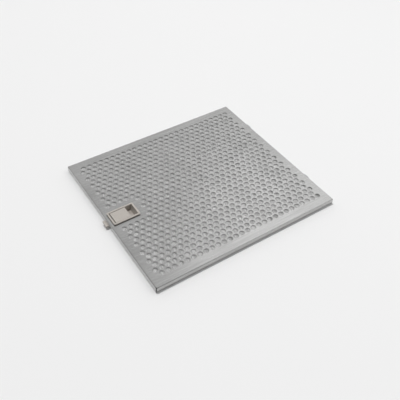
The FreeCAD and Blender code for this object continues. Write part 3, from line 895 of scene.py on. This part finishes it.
winding, size, end = new_tree("wound_spring", {
    "Turns": FLOAT, "Radius": FLOAT, "Length": FLOAT, "Wire": FLOAT, "Turn": POINT, "End": POINT,
})
spiral = add(winding, "GeometryNodeCurveSpiral", {
    "Resolution": STEPS_IN_A_TURN, "Rotations": size["Turns"], "Height": size["Length"],
    "Start Radius": size["Radius"], "End Radius": size["Radius"],
})
half_wire = add(winding, "ShaderNodeMath", {0: size["Wire"], 1: 0.5}, operation="MULTIPLY")
wire_section = add(winding, "GeometryNodeCurvePrimitiveCircle", {
    "Resolution": WIRE_SIDES, "Radius": half_wire.outputs[0],
})
wire = add(winding, "GeometryNodeCurveToMesh", {
    "Curve": spiral.outputs[0], "Profile Curve": wire_section.outputs["Curve"], "Fill Caps": True,
})
seated = add(winding, "GeometryNodeTransform", {
    "Geometry": wire.outputs[0], "Translation": size["End"], "Rotation": size["Turn"],
})
end_tree(winding, size, end, seated.outputs[0])

spring_low, spring_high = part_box("latch_spring")
spring_middle = (spring_low + spring_high) / 2
spring = grown("latch_spring_wound", bpy.data.meshes.new("spring_start"), winding, {
    "Turns": float(SPRING_TURNS), "Radius": (spring_high.z - spring_low.z - WIRE) / 2,
    "Length": spring_high.x - spring_low.x - WIRE, "Wire": WIRE, "Turn": (0, QUARTER_TURN, 0),
    "End": (spring_low.x + WIRE / 2, 0, spring_middle.z), "Finish": steel,
})
smooth_below(spring.data, WIRE_CREASE)
print("spring in mm:", [round(side / MM, 1) for side in spring.dimensions])

# %% [markdown]
# ## Tabs
# The two tabs are bent strips whose shape is right in the construction. They only get their plated finish
# and slightly broken edges.

# %% Tabs
near_tab = rounded_copy("near_tab_plated", "near_tab", steel)
far_tab = rounded_copy("far_tab_plated", "far_tab", steel)
print("tabs:", near_tab.name, far_tab.name)

# %% [markdown]
# ## Floor
# The filter lies on a seamless pale floor of grey paper. The camera, and reflections in the metal, see a
# small share of the paper's grey plain. The rest of it is lit as any surface is and keeps the shadow.

# %% Floor
FLOOR_SIZE = 12.0  # metres
FLOOR_GREY = colour("#f0f0f0")
PLAIN_SHARE = 0.02  # how much of the floor's grey looks plain, without shadow


def studio_floor():
    """Pale grey paper: matt and even, with a soft shadow."""
    finish, tree, end = new_finish("studio_paper")
    path = add(tree, "ShaderNodeLightPath")
    mirrored = add(tree, "ShaderNodeMath", {
        0: path.outputs["Is Glossy Ray"], 1: path.outputs["Is Transmission Ray"],
    }, operation="MAXIMUM")
    seen = add(tree, "ShaderNodeMath", {
        0: path.outputs["Is Camera Ray"], 1: mirrored.outputs[0],
    }, operation="MAXIMUM")
    plain = add(tree, "ShaderNodeMath", {0: seen.outputs[0], 1: PLAIN_SHARE}, operation="MULTIPLY")
    paper = add(tree, "ShaderNodeBsdfDiffuse", {"Color": FLOOR_GREY})
    glow = add(tree, "ShaderNodeEmission", {"Color": FLOOR_GREY, "Strength": 1.0})
    mixed = add(tree, "ShaderNodeMixShader", {0: plain.outputs[0], 1: paper.outputs[0], 2: glow.outputs[0]})
    tree.links.new(mixed.outputs[0], end.inputs["Surface"])
    return finish


floor_mesh = bpy.data.meshes.new("floor")
half = FLOOR_SIZE / 2
floor_corners = [(-half, -half, 0), (half, -half, 0), (half, half, 0), (-half, half, 0)]
floor_mesh.from_pydata(floor_corners, [], [(0, 1, 2, 3)])
floor_mesh.materials.append(studio_floor())
floor = bpy.data.objects.new("floor", floor_mesh)
bpy.context.scene.collection.objects.link(floor)
print("floor:", FLOOR_SIZE, "m square")

# %% [markdown]
# ## Lamps
# Metal shows what stands round it, so two soft panels stand where its faces mirror them: one behind the
# filter and a little to the right, and one to the right. A high lamp over the far edge lights the floor
# and casts the thin shadow along the near edge. The metal doesn't mirror that one, or it would glare.

# %% Lamps


def soft_light(name, azimuth, elevation, distance, width, height, power):
    """A light panel that faces the filter; angles in degrees from +X towards +Y and up, sizes in metres."""
    lamp = bpy.data.lights.new(name, "AREA")
    lamp.shape = "RECTANGLE"
    lamp.size = width
    lamp.size_y = height
    lamp.energy = power
    light = bpy.data.objects.new(name, lamp)
    a, e = math.radians(azimuth), math.radians(elevation)
    direction = Vector((math.cos(a) * math.cos(e), math.sin(a) * math.cos(e), math.sin(e)))
    facing = direction.to_track_quat("Z", "Y").to_matrix().to_4x4()
    light.matrix_world = Matrix.Translation(direction * distance) @ facing
    bpy.context.scene.collection.objects.link(light)
    return light


key = soft_light("key", azimuth=38, elevation=55, distance=1.6, width=0.71, height=0.89, power=1.13)
fill = soft_light("fill", azimuth=-38, elevation=53, distance=1.6, width=1.0, height=1.0, power=2.3)
top = soft_light("top", azimuth=97, elevation=75, distance=8.0, width=1.0, height=1.0, power=342)
top.visible_glossy = False
print("lamps:", key.name, fill.name, top.name)

# %% [markdown]
# ## Studio
# The studio round the filter is a gradient: bright low down behind the filter and dark above the camera,
# so that edges towards the camera fall into shade. A pale wall stands on the dark side, or the sheet
# would look black to whoever sees it from behind.

# %% Studio
LIT_SIDE = Vector((0.5, 0.5, -0.707))  # towards the table and backdrop behind the filter
LIT = 1.33
DIM = 0.0
FACING_WALL = 0.32  # level in the middle of the wall on the dark side
FACING_EDGE = -0.55  # where that wall begins, as the cosine from the lit side

world = bpy.data.worlds.new("studio")
bpy.context.scene.world = world
world.use_nodes = True
studio = world.node_tree
studio.nodes.clear()
direction = add(studio, "ShaderNodeTexCoord").outputs["Generated"]
towards_lit = add(studio, "ShaderNodeVectorMath", {0: direction, 1: LIT_SIDE}, operation="DOT_PRODUCT")
level = add(studio, "ShaderNodeMapRange", {
    "Value": towards_lit.outputs["Value"], "From Min": -1.0, "From Max": 1.0, "To Min": DIM, "To Max": LIT,
})
facing = add(studio, "ShaderNodeMapRange", {
    "Value": towards_lit.outputs["Value"], "From Min": FACING_EDGE, "From Max": -1.0,
    "To Min": 0.0, "To Max": FACING_WALL,
})
brighter = add(studio, "ShaderNodeMath", {0: level.outputs[0], 1: facing.outputs[0]}, operation="MAXIMUM")
surroundings = add(studio, "ShaderNodeBackground", {
    "Color": colour("#ffffff"), "Strength": brighter.outputs[0],
})
add(studio, "ShaderNodeOutputWorld", {"Surface": surroundings.outputs[0]})
bpy.context.scene.view_settings.view_transform = "Standard"
print("studio:", len(studio.nodes), "nodes")

# %% [markdown]
# ## Riding
# Every piece rides on the body that carries it and stands for its plain solid. The slide moves with the
# latch; everything else, the spring too, belongs to the cassette.

# %% Riding
pieces = [
    (front, "cassette", "front_sheet", "aluminium_sheet"),
    (rear, "cassette", "rear_sheet", "aluminium_sheet"),
    *[(layer, "cassette", node, "mesh_foil") for layer, node in layers],
    (housing, "cassette", "latch_housing", "latch_moulding"),
    (cover, "cassette", "latch_cover", "latch_moulding"),
    (slide, "latch", "latch_slide", "latch_moulding"),
    (spring, "cassette", "latch_spring", "spring_steel"),
    (near_tab, "cassette", "near_tab", "spring_steel"),
    (far_tab, "cassette", "far_tab", "spring_steel"),
]
for piece, body, node, slot in pieces:
    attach(piece, body)
    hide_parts(node)

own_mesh(spring)
print("pieces:", len(pieces))
